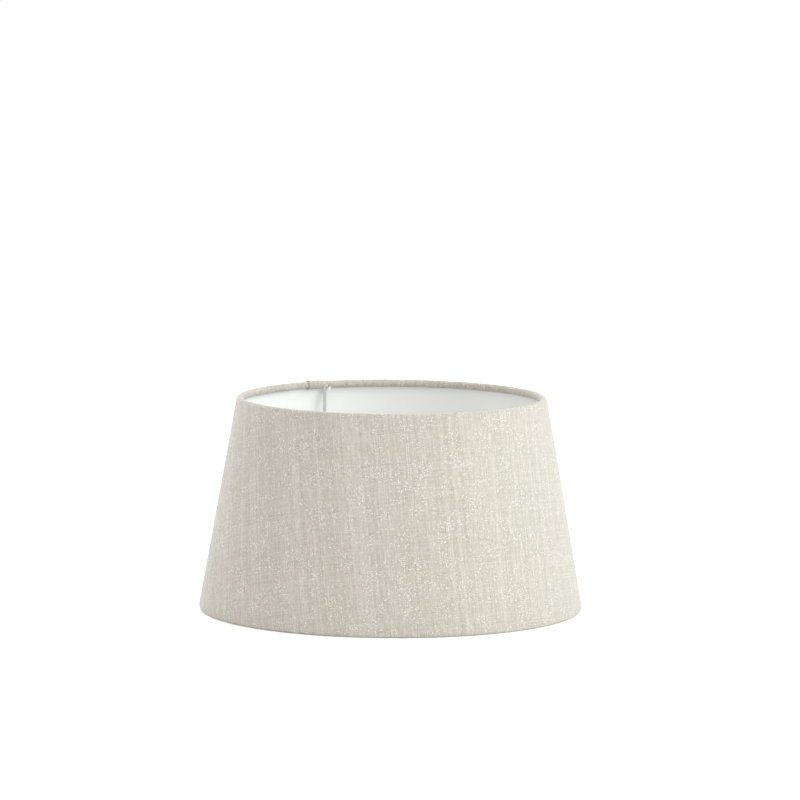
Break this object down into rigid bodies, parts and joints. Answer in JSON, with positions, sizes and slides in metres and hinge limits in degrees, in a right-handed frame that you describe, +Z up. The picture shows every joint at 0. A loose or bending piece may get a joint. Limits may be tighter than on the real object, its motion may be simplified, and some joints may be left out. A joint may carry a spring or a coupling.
{
  "type": "lamp shade",
  "caption": "Tapered round hardback lamp shade: linen cover on a white lining, edges rolled over wire rings, with a drop spider fitter for a screw lamp holder.",
  "frame": {"origin": "centre of the foot: the middle of the bottom rolled edge, on the surface that the shade stands on", "axes": "+Z up along the shade's axis towards its narrow end; -Y is the front, seen in the picture; +X to the right seen from the front"},
  "size_m": [0.3, 0.3, 0.168],
  "materials": {
    "linen": "plain-woven linen, off-white",
    "lining": "smooth white styrene sheet, satin",
    "tape": "white adhesive tape",
    "wire": "satin zinc-plated wire"
  },
  "bodies": {
    "root": {"fabric_cover": "linen", "liner": "lining", "seam_tape": "tape", "top_ring": "wire", "bottom_ring": "wire", "top_ring_tape": "tape", "bottom_ring_tape": "tape", "hub_ring": "wire", "arm_1": "wire", "arm_2": "wire", "arm_3": "wire"}
  },
  "joints": []
}
